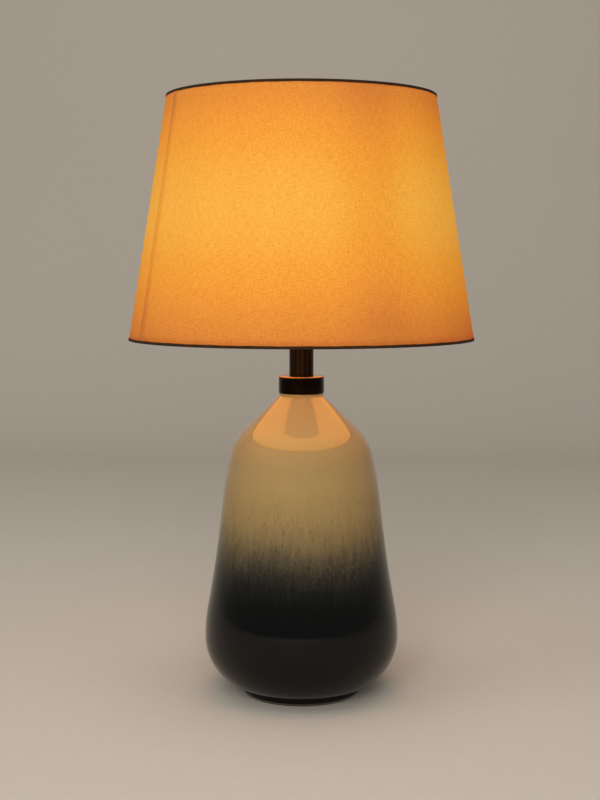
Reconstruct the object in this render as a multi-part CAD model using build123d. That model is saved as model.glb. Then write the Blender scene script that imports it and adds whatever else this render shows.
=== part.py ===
from build123d import *
import os
from math import acos, asin, atan, cos, degrees, radians, sin

# Table lamp: a glazed ceramic base, a metal neck, a switched E26 socket with its bulb, and a
# fabric shade that hangs from a detachable harp.
# Millimetres, +Z up, with the origin on the table under the middle of the foot. The front
# faces -Y. Each function below makes one piece, and its comment says what the piece does.

# ---- Clearances ----
turning_gap = 0.07  # radial, between a pin and the bore that turns or slides on it
screwed_gap = 0.05  # radial, between screwed pieces, whose threads are left plain
passing_gap = 0.4  # radial, where the pipe passes through a sheet or a wall
seat_gap = 0.3  # between pieces that lift or turn away from each other
edge_tolerance = 0.01  # for telling a part's edges apart by radius and height

# ---- Ceramic body and its foot ----
pad_thickness = 2.0
pad_width = 9.0
pad_margin = 1.5  # from the pad's edge to the foot's
body_wall = 6.0
foot_radius = 61.0
foot_width = 12.0  # of the ring that the body stands on
foot_rounding = 1.5
recess_depth = 10.0  # from the foot ring up to the underside of the floor
floor_thickness = 7.0
belly_radius = 99.2
belly_height = 57.3
bowl_bend = 52.5  # bend from the belly down to the foot
# Each stretch above the belly has the radius of its arc and its turn in degrees. A positive turn
# leans towards the axis.
belly_bend = 163.0
belly_turn = 10.6
waist_bend = 1200.0
waist_turn = -4.9
upper_bend = 560.0
upper_turn = 5.3
shoulder_bend = 53.5
shoulder_turn = 35.5
neck_radius = 23.0
lip_height = 2.94
lip_rounding = 0.6

# ---- Cord inlet, low on the back ----
inlet_slope = 27.0  # degrees that its axis points below the horizontal
inlet_hole_radius = 5.4
inlet_flat_radius = 8.5
inlet_flat_depth = 0.7
bushing_flange_radius = 7.5
bushing_flange_height = 2.2
bushing_bore_radius = 3.3
bushing_wall = 1.7
bushing_barb = 0.6  # how far its snap ring stands past the hole
bushing_barb_length = 2.4
bushing_tip_wall = 0.85
bushing_rounding = 0.7

# ---- Threaded pipe and the stack that it clamps ----
pipe_radius = 4.95
pipe_bore_radius = 3.2
pipe_stub = 1.5  # below the bottom nut
check_washer_radius = 20.0
check_washer_thickness = 1.6
lock_washer_radius = 9.0
lock_washer_thickness = 0.8
lock_washer_teeth = 10
nut_across_flats = 14.3
bottom_nut_height = 4.8
saddle_nut_height = 3.2
nut_chamfer = 1.0
collar_radius = 23.5
collar_height = 18.0
collar_wall = 2.6
collar_top_thickness = 2.2
collar_rounding = 0.9
register_height = 3.0
register_wall = 3.0
tube_radius = 12.5
tube_wall = 1.1
tube_length = 54.5
tube_cap_overhang = 1.0
tube_cap_thickness = 1.6

# ---- Harp and its saddle ----
harp_turn = -65.0  # degrees about Z from the X axis to the harp's plane
saddle_thickness = 1.8
saddle_width = 12.7
saddle_bend = 5.0  # outside radius
saddle_shoulder = 10.0  # height at which each arm narrows to its tongue
tongue_width = 4.6
tongue_height = 11.0
harp_spread = 26.0  # from the axis to each leg's foot
harp_height = 216.0  # from the saddle to the shade's seat
harp_half_width = 57.0
harp_wire_radius = 2.3
harp_waist_height = 42.0  # where the legs leave the vertical, above the saddle
harp_bulge_low = 88.0
harp_bulge_high = 168.0
harp_crown_half = 20.0
harp_bends = (18.0, 34.0, 34.0, 20.0)  # from a foot up to the crown
leg_foot_radius = 3.9
leg_foot_height = 15.0
leg_foot_rounding = 1.0
sleeve_wall = 0.9
sleeve_length = 13.0
stud_barrel_radius = 5.4
stud_barrel_wall = 1.3  # above and below the wire
seat_radius = 9.5
seat_thickness = 2.0
stud_radius = 3.1
stud_length = 12.0
stud_chamfer = 0.6

# ---- Socket, heights from the top of the saddle's nut ----
cap_hub_radius = 8.0
cap_hub_height = 9.0
cap_sheet = 0.6
cap_dome_height = 11.0
cap_rim_height = 7.0
cap_rim_radius = 18.2
cap_rounding = 3.6
pipe_in_cap = 7.5  # how far the pipe screws into the hub
shell_radius = 17.3
shell_sheet = 0.5
shell_top_height = 59.0
shell_bead = 0.7
liner_sheet = 0.9
core_gap = 0.2  # radial, inside the liner
core_foot_radius = 9.0
core_step_height = 20.0
core_top_height = 34.0
screw_shell_sheet = 0.4
screw_shell_length = 19.0
screw_shell_lip = 0.8
contact_leaf_thickness = 0.5
contact_leaf_rise = 2.0
contact_leaf_bend = 1.0
contact_leaf_width = 6.0
contact_leaf_reach = 11.0  # from the axis to its riveted end
terminal_head_radius = 2.9
terminal_head_height = 1.9
terminal_shank_radius = 1.7
terminal_shank_length = 5.0
terminal_height = 27.0
terminal_pocket = 9.0
set_screw_radius = 1.6
set_screw_head_radius = 2.4
set_screw_head_height = 1.8
slot_width = 0.8
slot_depth = 0.7
spindle_radius = 2.0
spindle_height = 29.0
spindle_depth = 6.0  # inside the core
spindle_window_radius = 3.6  # in the shell and the liner
knob_radius = 6.4
knob_length = 13.0
knob_stand_off = 2.6  # from the socket's shell
knob_rounding = 1.3
knob_flutes = 14
knob_flute_radius = 0.7
knob_collar = 2.6  # plain, next to the socket
knob_bore_depth = 6.5

# ---- E26 bulb ----
bulb_radius = 30.0
bulb_flare = 28.0  # degrees that its neck opens
bulb_neck_radius = 12.6
bulb_neck_bend = 50.0
bulb_glass_wall = 0.8
bulb_cap_radius = 13.0
bulb_cap_length = 14.5  # of its screwed stretch
bulb_cap_sheet = 0.4
bulb_skirt_radius = 12.4
bulb_skirt_length = 3.0
insulator_height = 5.0
insulator_tip_radius = 5.4
bulb_contact_radius = 4.6
bulb_contact_height = 1.4
bulb_contact_rounding = 1.1
stem_radius = 5.0
stem_height = 34.0
filament_lead_radius = 0.4
filament_spread = 7.0
filament_height = 16.0
filament_rise = 4.0  # where the leads start to spread
filament_bend = 1.6
filament_arch = 3.0

# ---- Shade ----
shade_bottom_radius = 177.1
shade_top_radius = 139.0
shade_height = 251.0
fabric_thickness = 0.7
liner_thickness = 0.5
ring_wire_radius = 1.4
ring_gap = 0.05
trim_thickness = 0.7
trim_height = 3.5
trim_rounding = 0.6
spider_recess = 12.7  # from the rim down to the top of the washer
washer_radius = 12.0
washer_thickness = 1.6
arm_wire_radius = 1.6
arm_start = 9.2
arm_rise_start = 18.0
arm_rise_end = 36.0
arm_bend = 9.0
arm_seat = 1.28  # from the washer's top to the middle of an arm's wire
arm_angles = (90.0, 210.0, 330.0)

# ---- Finial ----
finial_foot_radius = 6.4
finial_foot_height = 2.6
finial_rounding = 0.65
finial_waist_radius = 4.6
finial_ball_radius = 7.4
finial_height = 19.0


# ---- Shared forms ----
FROM_BELOW = (Align.CENTER, Align.CENTER, Align.MIN)


def turned(edges):
    """Solid turned about Z from a closed outline drawn as (radius, height)."""
    return revolve(Plane.XZ * make_face(edges), Axis.Z)


def turned_points(*points):
    """Solid turned about Z from the corners of its outline."""
    return turned(Polyline(*points, close=True).edges())


def post(radius, bottom, top):
    """Solid round bar along Z."""
    return Pos(0, 0, bottom) * Cylinder(radius, top - bottom, align=FROM_BELOW)


def ring(inner_radius, outer_radius, bottom, top):
    """Tube or washer along Z."""
    return post(outer_radius, bottom, top) - post(inner_radius, bottom, top)


def round_edges(part, radius, height):
    """Circular edges of a part at one radius and height."""
    circles = part.edges().filter_by(GeomType.CIRCLE)
    return [
        edge
        for edge in circles
        if abs(edge.radius - radius) < edge_tolerance
        and abs(edge.center().Z - height) < edge_tolerance
    ]


def path(start, stretches, inset=0.0):
    """Edges that follow on from each other, straight up at first. A stretch is (radius, turn),
    or (length, 0) where it is straight. The inset moves them all to the left, towards the axis,
    so two paths with the same stretches make a wall of even thickness."""
    edges = []
    point = Vector(*start)
    heading = Vector(0, 1)
    for size, turn in stretches:
        if turn:
            radius = size - inset if turn > 0 else size + inset
            edges.append(JernArc(point, heading, radius, turn))
        else:
            edges.append(Line(point, point + heading * size))
        point = edges[-1] @ 1
        heading = edges[-1] % 1
    return edges


def hex_nut(bore_radius, bottom, height):
    """Nut with both faces chamfered at the corners."""
    corner_radius = nut_across_flats / 2 / cos(radians(30))
    prism = extrude(RegularPolygon(corner_radius, 6), height)
    blank = chamfer(post(corner_radius, 0, height).edges().filter_by(GeomType.CIRCLE), nut_chamfer)
    return Pos(0, 0, bottom) * ((prism & blank) - post(bore_radius, 0, height))


def bent_strip(corners, bend, thickness, width):
    """Strip bent round its corners in the XZ plane. The corners lie on the face to its right."""
    line = FilletPolyline(*corners, radius=bend)
    section = make_face(offset(line, thickness, side=Side.LEFT, closed=True))
    return extrude(Plane.XZ * section, width / 2, both=True)


def slotted_head(radius, height):
    """Screw head on the XY plane, with its slot on top."""
    slot = Pos(0, 0, height) * Box(2 * radius, slot_width, 2 * slot_depth)
    return post(radius, 0, height) - slot


# ---- Heights of the stack, from the table up ----
floor_bottom = pad_thickness + recess_depth
floor_top = floor_bottom + floor_thickness
bowl_centre = belly_radius - bowl_bend
flank_stretches = (
    (belly_bend, belly_turn),
    (waist_bend, waist_turn),
    (upper_bend, upper_turn),
    (shoulder_bend, shoulder_turn),
)


def body_cone(inset):
    """Side of the ceramic body from the belly up to its neck, as edges, with the last one a
    straight cone that ends where it meets the neck."""
    edges = path((belly_radius - inset, belly_height), flank_stretches, inset)
    start = edges[-1] @ 1
    heading = edges[-1] % 1
    length = (neck_radius - inset - start.X) / heading.X
    return edges + [Line(start, start + heading * length)]


body_top = (body_cone(0)[-1] @ 1).Y + lip_height
collar_top = body_top + collar_height
tube_top = collar_top + tube_length
saddle_bottom = tube_top + tube_cap_thickness
saddle_top = saddle_bottom + saddle_thickness
socket_base = saddle_top + saddle_nut_height
cap_shoulder = socket_base + cap_hub_height
cap_rim_bottom = cap_shoulder + cap_dome_height
cap_rim_top = cap_rim_bottom + cap_rim_height
core_step = socket_base + core_step_height
core_top = socket_base + core_top_height
shell_top = socket_base + shell_top_height
spindle_level = socket_base + spindle_height
bulb_tip = core_top + contact_leaf_rise + seat_gap
bulb_cap_bottom = bulb_tip + bulb_contact_height + insulator_height
bulb_cap_top = bulb_cap_bottom + bulb_cap_length
glass_bottom = bulb_cap_top + bulb_skirt_length
shade_seat = saddle_top + harp_height
washer_bottom = shade_seat + seat_gap
washer_top = washer_bottom + washer_thickness
shade_top = washer_top + spider_recess
shade_bottom = shade_top - shade_height


# ---- Foot and ceramic body ----
def foot_pad():
    """Felt ring glued under the foot."""
    outer_radius = foot_radius - pad_margin
    return ring(outer_radius - pad_width, outer_radius, 0, pad_thickness)


def bowl(inset, drop):
    """Arc of the lower body, from an angle below the belly up to it."""
    return CenterArc((bowl_centre, belly_height), bowl_bend - inset, -drop, drop)


def inlet_plane():
    """Plane on the back of the bowl with its normal along the cord inlet."""
    slope = radians(inlet_slope)
    point = (0, bowl_centre + bowl_bend * cos(slope), belly_height - bowl_bend * sin(slope))
    return Plane(origin=point, x_dir=(1, 0, 0), z_dir=(0, cos(slope), -sin(slope)))


def base_body():
    """Slip-cast shell with a floor above its foot ring, open at the neck."""
    outer_drop = degrees(acos((foot_radius - bowl_centre) / bowl_bend))
    inner_drop = degrees(asin((belly_height - floor_top) / (bowl_bend - body_wall)))
    outside = [bowl(0, outer_drop), *body_cone(0)]
    inside = [bowl(body_wall, inner_drop), *body_cone(body_wall)]
    hole_radius = pipe_radius + passing_gap
    recess_radius = foot_radius - foot_width
    neck = [outside[-1] @ 1, (neck_radius, body_top), (neck_radius - body_wall, body_top), inside[-1] @ 1]
    floor = [
        inside[0] @ 0,
        (hole_radius, floor_top),
        (hole_radius, floor_bottom),
        (recess_radius, floor_bottom),
        (recess_radius, pad_thickness),
        (foot_radius, pad_thickness),
        outside[0] @ 0,
    ]
    body = turned([*outside, *inside, *Polyline(*neck).edges(), *Polyline(*floor).edges()])
    body = fillet(round_edges(body, foot_radius, pad_thickness), foot_rounding)
    body = fillet(round_edges(body, neck_radius, body_top), lip_rounding)
    flat = inlet_plane().offset(-inlet_flat_depth) * Cylinder(inlet_flat_radius, body_wall, align=FROM_BELOW)
    hole = inlet_plane() * Cylinder(inlet_hole_radius, 4 * body_wall)
    return body - flat - hole


def cord_bushing():
    """Plastic inlet that snaps into the body's hole, with a bore for the cord."""
    barrel_radius = bushing_bore_radius + bushing_wall
    barb_radius = inlet_hole_radius + bushing_barb
    hollow = barb_radius**2 / 2 / (bowl_bend - body_wall)  # of the wall's inside, across the ring
    wall_inside = inlet_flat_depth - body_wall - hollow - seat_gap
    end = wall_inside - bushing_barb_length
    profile = Polyline(
        (bushing_bore_radius, bushing_flange_height),
        (bushing_flange_radius, bushing_flange_height),
        (bushing_flange_radius, 0),
        (barrel_radius, 0),
        (barrel_radius, wall_inside),
        (barb_radius, wall_inside),
        (bushing_bore_radius + bushing_tip_wall, end),
        (bushing_bore_radius, end),
        close=True,
    )
    bushing = turned(profile.edges())
    bushing = fillet(
        round_edges(bushing, bushing_flange_radius, bushing_flange_height)
        + round_edges(bushing, bushing_bore_radius, bushing_flange_height),
        bushing_rounding,
    )
    return inlet_plane().offset(-inlet_flat_depth) * bushing


# ---- Pipe and clamped stack ----
washer_hole_radius = pipe_radius + passing_gap
check_washer_bottom = floor_bottom - check_washer_thickness
lock_washer_bottom = check_washer_bottom - lock_washer_thickness
bottom_nut_bottom = lock_washer_bottom - bottom_nut_height


def lamp_pipe():
    """Threaded pipe that clamps the stack and leads the cord to the socket."""
    return ring(pipe_bore_radius, pipe_radius, bottom_nut_bottom - pipe_stub, socket_base + pipe_in_cap)


def check_washer():
    return ring(washer_hole_radius, check_washer_radius, check_washer_bottom, floor_bottom)


def lock_washer():
    """Star washer with teeth round its edge."""
    blank = ring(washer_hole_radius, lock_washer_radius, lock_washer_bottom, check_washer_bottom)
    notch_radius = lock_washer_radius * sin(radians(90 / lock_washer_teeth))
    notch = post(notch_radius, lock_washer_bottom, check_washer_bottom)
    return blank - PolarLocations(lock_washer_radius, lock_washer_teeth) * notch


def bottom_nut():
    return hex_nut(pipe_radius + screwed_gap, bottom_nut_bottom, bottom_nut_height)


def neck_collar():
    """Spun cap that covers the mouth of the body and carries the tube."""
    inner_radius = collar_radius - collar_wall
    plate_bottom = collar_top - collar_top_thickness
    collar = turned_points(
        (washer_hole_radius, collar_top),
        (collar_radius, collar_top),
        (collar_radius, body_top),
        (inner_radius, body_top),
        (inner_radius, plate_bottom),
        (washer_hole_radius, plate_bottom),
    )
    edges = round_edges(collar, collar_radius, collar_top) + round_edges(collar, collar_radius, body_top)
    return fillet(edges, collar_rounding)


def tube_register():
    """Ring that centres the tube on the collar."""
    outer_radius = tube_radius - tube_wall - screwed_gap
    return ring(outer_radius - register_wall, outer_radius, collar_top, collar_top + register_height)


def neck_tube():
    return ring(tube_radius - tube_wall, tube_radius, collar_top, tube_top)


def tube_cap():
    """Check ring on top of the tube, with a step that centres it."""
    step_radius = tube_radius - tube_wall - screwed_gap
    return turned_points(
        (washer_hole_radius, saddle_bottom),
        (tube_radius + tube_cap_overhang, saddle_bottom),
        (tube_radius + tube_cap_overhang, tube_top),
        (step_radius, tube_top),
        (step_radius, tube_top - tube_cap_thickness),
        (washer_hole_radius, tube_top - tube_cap_thickness),
    )


def saddle_nut():
    return hex_nut(pipe_radius + screwed_gap, saddle_top, saddle_nut_height)


# ---- Harp. It and the socket are drawn with the harp in the XZ plane ----
tongue_bottom = saddle_top + saddle_shoulder
tongue_top = tongue_bottom + tongue_height
leg_foot_bottom = tongue_bottom + seat_gap
leg_foot_top = leg_foot_bottom + leg_foot_height


def harp_saddle():
    """Strip bent to a U, whose arms narrow to tongues for the harp's feet."""
    half = harp_spread + saddle_thickness / 2
    corners = [(-half, tongue_top), (-half, saddle_bottom), (half, saddle_bottom), (half, tongue_top)]
    strip = bent_strip(corners, saddle_bend, saddle_thickness, saddle_width)
    shoulder_cut = (saddle_width - tongue_width) / 2
    cuts = [
        Pos(0, side * (tongue_width + shoulder_cut) / 2, tongue_bottom)
        * Box(4 * half, shoulder_cut, 2 * tongue_height, align=FROM_BELOW)
        for side in (-1, 1)
    ]
    return strip - cuts - post(washer_hole_radius, saddle_bottom, saddle_top)


def harp_centreline():
    """Line of the harp's wire, from one foot over the crown to the other."""
    crown = shade_seat - seat_thickness - stud_barrel_wall - harp_wire_radius
    right = [
        (harp_spread, leg_foot_bottom + leg_foot_height / 2),
        (harp_spread, saddle_top + harp_waist_height),
        (harp_half_width, saddle_top + harp_bulge_low),
        (harp_half_width, saddle_top + harp_bulge_high),
        (harp_crown_half, crown),
    ]
    left = [(-x, z) for x, z in reversed(right)]
    return Plane.XZ * FilletPolyline(*right, *left, radius=[*harp_bends, *reversed(harp_bends)])


def harp_wire():
    """Bent wire with a foot on each leg, which has a pocket for the saddle's tongue."""
    line = harp_centreline()
    wire = sweep(Plane(origin=line @ 0, z_dir=line % 0) * Circle(harp_wire_radius), line)
    pocket_height = tongue_top - leg_foot_bottom + seat_gap
    foot = post(leg_foot_radius, leg_foot_bottom, leg_foot_top)
    foot = fillet(round_edges(foot, leg_foot_radius, leg_foot_top), leg_foot_rounding)
    pocket = Pos(0, 0, leg_foot_bottom) * Box(
        saddle_thickness + 2 * seat_gap, tongue_width + 2 * seat_gap, pocket_height, align=FROM_BELOW
    )
    for side in (-1, 1):
        wire = wire + Pos(side * harp_spread, 0, 0) * foot
    for side in (-1, 1):
        wire = wire - Pos(side * harp_spread, 0, 0) * pocket
    return wire


def harp_sleeve(side):
    """Sleeve that locks a leg to the saddle and slides up to free it."""
    bore_radius = leg_foot_radius + turning_gap
    sleeve = ring(bore_radius, bore_radius + sleeve_wall, leg_foot_bottom, leg_foot_bottom + sleeve_length)
    return Pos(side * harp_spread, 0, 0) * sleeve


def harp_stud():
    """Barrel clamped on the harp's crown, with the seat and the stud for the shade."""
    seat_bottom = shade_seat - seat_thickness
    barrel_bottom = seat_bottom - 2 * (stud_barrel_wall + harp_wire_radius)
    barrel = post(stud_barrel_radius, barrel_bottom, seat_bottom)
    seat = post(seat_radius, seat_bottom, shade_seat)
    stud = post(stud_radius, shade_seat, shade_seat + stud_length)
    stud = chamfer(round_edges(stud, stud_radius, shade_seat + stud_length), stud_chamfer)
    crown = seat_bottom - stud_barrel_wall - harp_wire_radius
    drill = Cylinder(harp_wire_radius + screwed_gap, 4 * stud_barrel_radius)
    wire_hole = Pos(0, 0, crown) * Rot(0, 90, 0) * drill
    return barrel + seat + stud - wire_hole


# ---- Socket ----
shell_bore = shell_radius - shell_sheet
liner_bore = shell_bore - screwed_gap - liner_sheet
core_radius = liner_bore - core_gap


def socket_cap():
    """Cap that screws onto the pipe and spreads to hold the shell."""
    hub_bore = pipe_radius + screwed_gap
    neck = cap_hub_radius - cap_sheet
    outer = [
        (hub_bore, socket_base),
        (cap_hub_radius, socket_base),
        (cap_hub_radius, cap_shoulder),
        (cap_rim_radius, cap_rim_bottom),
        (cap_rim_radius, cap_rim_top),
    ]
    inner = [
        (cap_rim_radius - cap_sheet, cap_rim_top),
        (cap_rim_radius - cap_sheet, cap_rim_bottom + cap_sheet),
        (neck, cap_shoulder + cap_sheet),
        (hub_bore, cap_shoulder + cap_sheet),
    ]
    cap = turned_points(*outer, *inner)
    cap = fillet(round_edges(cap, cap_rim_radius, cap_rim_bottom), cap_rounding)
    screw_hole = (
        Pos(0, 0, socket_base + cap_hub_height / 2)
        * Rot(90, 0, 0)
        * Cylinder(set_screw_radius + screwed_gap, 2 * cap_hub_radius, align=FROM_BELOW)
    )
    return cap - screw_hole


def cap_set_screw():
    """Screw that locks the cap on the pipe."""
    start = pipe_radius + screwed_gap
    shank = post(set_screw_radius, start, cap_hub_radius)
    head = Pos(0, 0, cap_hub_radius) * slotted_head(set_screw_head_radius, set_screw_head_height)
    return Pos(0, 0, socket_base + cap_hub_height / 2) * Rot(90, 0, 0) * (shank + head)


def spindle_hole(radius):
    """Hole for the switch's spindle, along +Y from the axis."""
    return Pos(0, 0, spindle_level) * Rot(-90, 0, 0) * Cylinder(radius, 2 * shell_radius, align=FROM_BELOW)


def socket_shell():
    """Metal shell that snaps into the cap's rim, with a bead round its mouth."""
    bottom = cap_rim_top - cap_rim_height / 2
    shell = ring(shell_bore, shell_radius, bottom, shell_top)
    bead = Pos(0, 0, shell_top - shell_bead) * Torus(shell_radius - shell_bead / 2, shell_bead)
    bead -= post(shell_bore, shell_top - 2 * shell_bead, shell_top)
    return shell + bead - spindle_hole(spindle_window_radius)


def shell_liner():
    """Cardboard sleeve that insulates the shell."""
    bottom = cap_rim_bottom + cap_sheet
    liner = ring(liner_bore, liner_bore + liner_sheet, bottom, shell_top - 2 * shell_bead)
    return liner - spindle_hole(spindle_window_radius)


terminal_level = socket_base + terminal_height
terminal_flat = core_radius - terminal_head_height


def terminal_place(side):
    """Place of a terminal screw's head on the core's flat, with Z outwards."""
    return Pos(side * terminal_flat, 0, terminal_level) * Rot(0, side * 90, 0)


def socket_core():
    """Moulded block that holds the switch, the terminals and the screw shell."""
    dome_slope = cap_dome_height / (cap_rim_radius - cap_hub_radius)
    foot_bottom = cap_shoulder + cap_sheet + (core_foot_radius + cap_sheet - cap_hub_radius) * dome_slope
    core = post(core_foot_radius, foot_bottom + seat_gap, core_step) + post(core_radius, core_step, core_top)
    pocket = Box(terminal_pocket, terminal_pocket, terminal_head_height, align=FROM_BELOW)
    hole = post(terminal_shank_radius + screwed_gap, -terminal_shank_length - screwed_gap, 0)
    for side in (-1, 1):
        core -= terminal_place(side) * pocket
        core -= terminal_place(side) * hole
    return core - spindle_bore()


def terminal_screws():
    """The two screws that clamp the lead wires."""
    screw = slotted_head(terminal_head_radius, terminal_head_height - seat_gap)
    screw += post(terminal_shank_radius, -terminal_shank_length, 0)
    return terminal_place(-1) * screw + terminal_place(1) * screw


def spindle_bore():
    """Blind bore in the core for the spindle."""
    start = core_radius - spindle_depth - seat_gap
    bore = post(spindle_radius + turning_gap, start, core_radius + shell_radius)
    return Pos(0, 0, spindle_level) * Rot(-90, 0, 0) * bore


def switch_spindle():
    """Spindle that turns in the core and carries the knob."""
    pin = post(spindle_radius, core_radius - spindle_depth, shell_radius + knob_stand_off + knob_bore_depth)
    return Pos(0, 0, spindle_level) * Rot(-90, 0, 0) * pin


def switch_knob():
    """Fluted knob pressed on the spindle."""
    start = shell_radius + knob_stand_off
    knob = post(knob_radius, start, start + knob_length)
    knob = fillet(round_edges(knob, knob_radius, start + knob_length), knob_rounding)
    knob -= post(spindle_radius + screwed_gap, start, start + knob_bore_depth)
    flute = post(knob_flute_radius, start + knob_collar, start + knob_length)
    knob -= PolarLocations(knob_radius, knob_flutes) * flute
    return Pos(0, 0, spindle_level) * Rot(-90, 0, 0) * knob


def socket_screw_shell():
    """Shell that takes the bulb's cap, with a lip turned out round its mouth."""
    bore = bulb_cap_radius + seat_gap
    outside = bore + screw_shell_sheet
    top = core_top + screw_shell_length
    return turned_points(
        (bore, core_top),
        (bore, top - screw_shell_lip),
        (bore + screw_shell_lip, top),
        (outside + screw_shell_lip, top),
        (outside, top - screw_shell_lip),
        (outside, core_top),
    )


def socket_contact():
    """Sprung leaf under the bulb, riveted to the core."""
    top = core_top + contact_leaf_rise - contact_leaf_thickness
    corners = [
        (-contact_leaf_reach, core_top),
        (-contact_leaf_width / 2 - contact_leaf_rise, core_top),
        (-contact_leaf_width / 2, top),
        (contact_leaf_width / 2, top),
    ]
    return bent_strip(corners, contact_leaf_bend, contact_leaf_thickness, contact_leaf_width)


# ---- Bulb ----
def bulb_side(inset):
    """Side of the glass from its neck to the top of the globe."""
    flare = radians(bulb_flare)
    reach = bulb_radius * cos(flare) - bulb_neck_radius - bulb_neck_bend * (1 - cos(flare))
    stretches = [(bulb_neck_bend, -bulb_flare), (reach / sin(flare), 0), (bulb_radius, 90 + bulb_flare)]
    return path((bulb_neck_radius - inset, glass_bottom), stretches, inset)


def bulb_glass():
    """Frosted globe, open where the cap closes it."""
    outside = bulb_side(0)
    inside = bulb_side(bulb_glass_wall)
    ends = [Line(outside[0] @ 0, inside[0] @ 0), Line(outside[-1] @ 1, inside[-1] @ 1)]
    return turned([*outside, *inside, *ends])


def bulb_cap():
    """Screwed cap, with a narrower skirt that holds the glass."""
    shoulder = bulb_cap_radius - bulb_skirt_radius
    outside = [
        (bulb_skirt_radius, bulb_cap_bottom),
        (bulb_cap_radius, bulb_cap_bottom + shoulder),
        (bulb_cap_radius, bulb_cap_top - shoulder),
        (bulb_skirt_radius, bulb_cap_top),
        (bulb_skirt_radius, glass_bottom),
    ]
    inside = [(radius - bulb_cap_sheet, height) for radius, height in reversed(outside)]
    return turned_points(*outside, *inside)


def bulb_insulator():
    """Black glass that closes the cap round its contact."""
    bottom = bulb_tip + bulb_contact_height
    return turned_points(
        (0, bottom),
        (insulator_tip_radius, bottom),
        (bulb_skirt_radius, bulb_cap_bottom),
        (0, bulb_cap_bottom),
    )


def bulb_contact():
    """Solder dome at the bulb's tip."""
    dome = post(bulb_contact_radius, bulb_tip, bulb_tip + bulb_contact_height)
    return fillet(round_edges(dome, bulb_contact_radius, bulb_tip), bulb_contact_rounding)


def bulb_stem():
    """Glass stem that stands in the cap and holds the filament's leads."""
    return post(stem_radius, bulb_cap_bottom, bulb_cap_bottom + stem_height)


def bulb_filament():
    """Filament and its two leads, as one bent wire on the stem."""
    start = bulb_cap_bottom + stem_height
    half = stem_radius / 2
    right = [(half, start), (half, start + filament_rise), (filament_spread, start + filament_height)]
    left = [(-x, z) for x, z in right]
    top = (0, start + filament_height + filament_arch)
    line = Plane.XZ * FilletPolyline(*left, top, *reversed(right), radius=filament_bend)
    return sweep(Plane(origin=line @ 0, z_dir=line % 0) * Circle(filament_lead_radius), line)


# ---- Shade ----
shade_taper = (shade_bottom_radius - shade_top_radius) / shade_height


def shade_radius(height):
    """Radius of the fabric's outer face at a height."""
    return shade_bottom_radius - (height - shade_bottom) * shade_taper


def shade_band(outer_depth, inner_depth, bottom, top):
    """Ring of the shade's wall, between two depths inside the fabric's outer face."""
    return turned_points(
        (shade_radius(bottom) - outer_depth, bottom),
        (shade_radius(top) - outer_depth, top),
        (shade_radius(top) - inner_depth, top),
        (shade_radius(bottom) - inner_depth, bottom),
    )


wall_bottom = shade_bottom + trim_thickness
wall_top = shade_top - trim_thickness
liner_depth = fabric_thickness + liner_thickness
ring_depth = liner_depth + ring_gap + ring_wire_radius
trim_depth = ring_depth + ring_wire_radius + ring_gap
top_ring_level = wall_top - ring_gap - ring_wire_radius
bottom_ring_level = wall_bottom + ring_gap + ring_wire_radius


def shade_fabric():
    return shade_band(0, fabric_thickness, wall_bottom, wall_top)


def shade_liner():
    """Stiff film that the fabric is laminated to."""
    return shade_band(fabric_thickness, liner_depth, wall_bottom, wall_top)


def wire_ring(level):
    radius = shade_radius(level) - ring_depth
    return Pos(0, 0, level) * Torus(radius, ring_wire_radius)


def shade_trim(edge, side):
    """Tape folded over an edge of the shade and its wire ring. The side is 1 where the tape
    goes up from the edge and -1 where it goes down."""
    web = edge + side * trim_thickness
    end = edge + side * trim_height

    def corner(depth, height):
        return (shade_radius(height) - depth, height)

    trim = turned_points(
        corner(-trim_thickness, edge),
        corner(-trim_thickness, end),
        corner(0, end),
        corner(0, web),
        corner(trim_depth, web),
        corner(trim_depth, end),
        corner(trim_depth + trim_thickness, end),
        corner(trim_depth + trim_thickness, edge),
    )
    outer = round_edges(trim, shade_radius(edge) + trim_thickness, edge)
    inner = round_edges(trim, shade_radius(edge) - trim_depth - trim_thickness, edge)
    return fillet(outer + inner, trim_rounding)


def spider_arm(angle, wire_radius):
    """Wire from the washer out to the top ring."""
    level = washer_top + arm_seat
    end = shade_radius(top_ring_level) - ring_depth
    line = FilletPolyline(
        (arm_start, level),
        (arm_rise_start, level),
        (arm_rise_end, top_ring_level),
        (end, top_ring_level),
        radius=arm_bend,
    )
    line = Plane.XZ * line
    arm = sweep(Plane(origin=line @ 0, z_dir=line % 0) * Circle(wire_radius), line)
    return Rot(0, 0, angle) * arm


def shade_spider():
    """Top ring, three arms and the washer that sits on the harp, welded together."""
    washer = ring(stud_radius + turning_gap, washer_radius, washer_bottom, washer_top)
    spider = wire_ring(top_ring_level) + washer
    for angle in arm_angles:
        spider = spider + spider_arm(angle, arm_wire_radius)
    return spider


def shade_top_trim():
    """Tape over the top edge, notched round the arms."""
    trim = shade_trim(shade_top, -1)
    for angle in arm_angles:
        trim -= spider_arm(angle, arm_wire_radius + 2 * ring_gap)
    return trim


def finial():
    """Knob that screws down on the stud and holds the shade."""
    bottom = washer_top + seat_gap
    foot = post(finial_foot_radius, bottom, bottom + finial_foot_height)
    foot = fillet(foot.edges().filter_by(GeomType.CIRCLE), finial_rounding)
    top = bottom + finial_height
    waist = post(finial_waist_radius, bottom, top - finial_ball_radius)
    ball = Pos(0, 0, top - finial_ball_radius) * Sphere(finial_ball_radius)
    bore = post(stud_radius + turning_gap, bottom, shade_seat + stud_length + seat_gap)
    return foot + waist + ball - bore


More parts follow.
